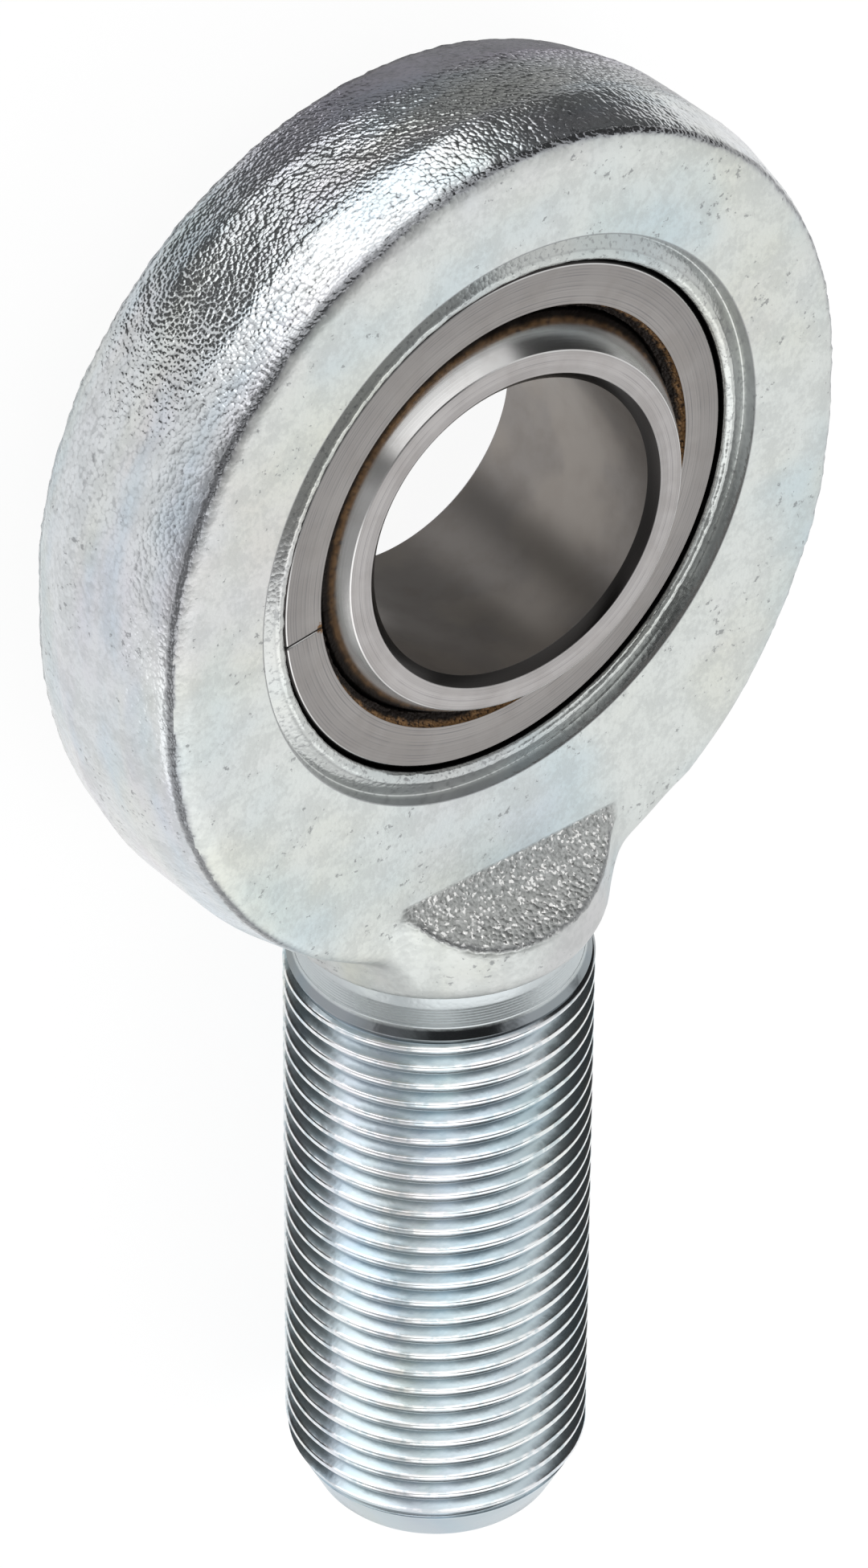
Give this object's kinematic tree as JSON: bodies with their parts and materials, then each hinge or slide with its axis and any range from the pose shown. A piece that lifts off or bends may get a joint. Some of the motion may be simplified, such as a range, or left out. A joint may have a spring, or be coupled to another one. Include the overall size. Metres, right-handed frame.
{
  "type": "male rod end",
  "caption": "Forged, zinc plated eye on an externally threaded shank, holding a spherical plain bearing whose bored ball tilts to take up misalignment.",
  "frame": {"origin": "centre of the ball, on the axis of its bore", "axes": "+Z along the axis of the eye, out of the face with the staked lip that the picture shows; the shank runs along -Y; +X completes the right-handed frame"},
  "size_m": [0.054, 0.107, 0.0214],
  "materials": {
    "housing": "satin",
    "outer_ring": "satin",
    "liner": "matte",
    "inner_ring": "polished"
  },
  "bodies": {
    "housing": {"housing": "housing", "outer_ring": "outer_ring", "liner": "liner"},
    "inner_ring": {"inner_ring": "inner_ring"}
  },
  "joints": [
    {"name": "ring_tilt", "type": "hinge", "parent": "housing", "child": "inner_ring", "pos_m": [0, 0, 0], "axis": [-0.4695, -0.8829, 0], "range_deg": [-14.9, 3.1]}
  ]
}
